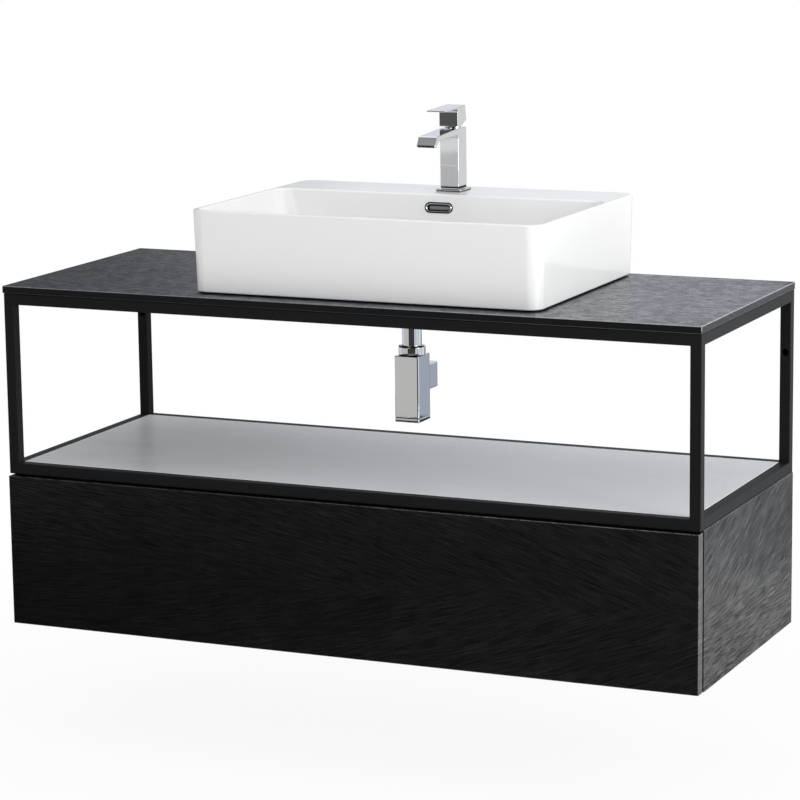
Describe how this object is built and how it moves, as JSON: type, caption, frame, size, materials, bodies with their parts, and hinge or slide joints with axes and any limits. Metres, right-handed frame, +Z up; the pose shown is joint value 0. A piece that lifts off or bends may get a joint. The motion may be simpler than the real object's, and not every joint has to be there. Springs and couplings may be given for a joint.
{
  "type": "wall-hung vanity with vessel basin",
  "caption": "Wall-hung vanity: a countertop vessel basin with lever faucet and bottle trap on a square-tube frame with an open shelf over a wide push-to-open drawer.",
  "frame": {"origin": "on the wall plane, at the middle of the frame's rear top rail", "axes": "+X to the right as seen from the room, +Y into the wall, +Z up; the drawer opens towards -Y"},
  "size_m": [1.2, 0.471, 0.841],
  "materials": {
    "countertop_laminate": "dark anthracite compact laminate, fine slate texture",
    "frame_black": "black fine-textured powder coat",
    "shelf_silver": "satin silver",
    "cabinet_oak": "black-stained wood grain, satin",
    "carcass_board": "dark grey melamine board",
    "zinc_steel": "zinc plated",
    "ceramic_white": "glossy white glaze",
    "chrome_plate": "polished chrome",
    "rubber_black": "matt",
    "grey_plastic": "moulded, satin"
  },
  "bodies": {
    "root": {"frame_post_front_left": "frame_black", "frame_post_front_right": "frame_black", "frame_post_rear_left": "frame_black", "frame_post_rear_right": "frame_black", "frame_rail_top_front": "frame_black", "frame_rail_top_rear": "frame_black", "frame_rail_top_left": "frame_black", "frame_rail_top_right": "frame_black", "frame_rail_bottom_front": "frame_black", "frame_rail_bottom_rear": "frame_black", "frame_rail_bottom_left": "frame_black", "frame_rail_bottom_right": "frame_black", "countertop": "countertop_laminate", "shelf_panel": "shelf_silver", "cabinet_side_left": "cabinet_oak", "cabinet_side_right": "cabinet_oak", "cabinet_top": "carcass_board", "cabinet_bottom": "carcass_board", "cabinet_back": "carcass_board", "hanging_rail": "carcass_board", "wall_bracket_left": "zinc_steel", "wall_bracket_right": "zinc_steel", "runner_outer_left": "zinc_steel", "runner_outer_right": "zinc_steel", "push_latch": "grey_plastic", "basin": "ceramic_white", "overflow_ring": "chrome_plate", "waste_seal": "rubber_black", "waste_body": "chrome_plate", "waste_washer": "rubber_black", "waste_nut": "grey_plastic", "tail_pipe": "chrome_plate", "trap_nut": "chrome_plate", "trap_seal": "rubber_black", "trap_body": "chrome_plate", "trap_cap": "chrome_plate", "trap_outlet": "chrome_plate", "faucet_base": "chrome_plate", "faucet_body": "chrome_plate", "faucet_aerator": "grey_plastic", "cartridge": "grey_plastic", "cartridge_nut": "chrome_plate", "faucet_stud": "zinc_steel", "faucet_nut": "zinc_steel", "hose_inlet_hot": "zinc_steel", "hose_inlet_cold": "zinc_steel"},
    "drawer": {"drawer_front": "cabinet_oak", "drawer_side_left": "carcass_board", "drawer_side_right": "carcass_board", "drawer_bottom": "carcass_board", "drawer_back": "carcass_board", "runner_inner_left": "zinc_steel", "runner_inner_right": "zinc_steel"},
    "runner_left": {"runner_middle_left": "zinc_steel"},
    "runner_right": {"runner_middle_right": "zinc_steel"},
    "latch": {"latch_plunger": "grey_plastic"},
    "plug": {"waste_plug": "chrome_plate"},
    "lever_carrier": {"cartridge_carrier": "grey_plastic"},
    "lever": {"faucet_lever": "chrome_plate", "cartridge_spindle": "zinc_steel"}
  },
  "joints": [
    {"name": "drawer_slide", "type": "slide", "parent": "root", "child": "drawer", "axis": [0, -1, 0], "range_m": [0, 0.38]},
    {"name": "runner_left_slide", "type": "slide", "parent": "root", "child": "runner_left", "axis": [0, -1, 0], "range_m": [0, 0.19]},
    {"name": "runner_right_slide", "type": "slide", "parent": "root", "child": "runner_right", "axis": [0, -1, 0], "range_m": [0, 0.19]},
    {"name": "latch_press", "type": "slide", "parent": "root", "child": "latch", "axis": [0, 1, 0], "range_m": [0, 0.003], "stiffness_N_per_m": 300},
    {"name": "plug_lift", "type": "slide", "parent": "root", "child": "plug", "axis": [0, 0, 1], "range_m": [0, 0.008]},
    {"name": "lever_turn", "type": "hinge", "parent": "root", "child": "lever_carrier", "pos_m": [0.029, -0.061, 0.258], "axis": [0, 0, 1], "range_deg": [-45, 45]},
    {"name": "lever_lift", "type": "hinge", "parent": "lever_carrier", "child": "lever", "pos_m": [0.029, -0.061, 0.2581], "axis": [-1, 0, 0], "range_deg": [0, 22]}
  ],
  "couplings": [
    {"joint": "runner_left_slide", "follows": "drawer_slide", "ratio": 0.5},
    {"joint": "runner_right_slide", "follows": "drawer_slide", "ratio": 0.5}
  ]
}
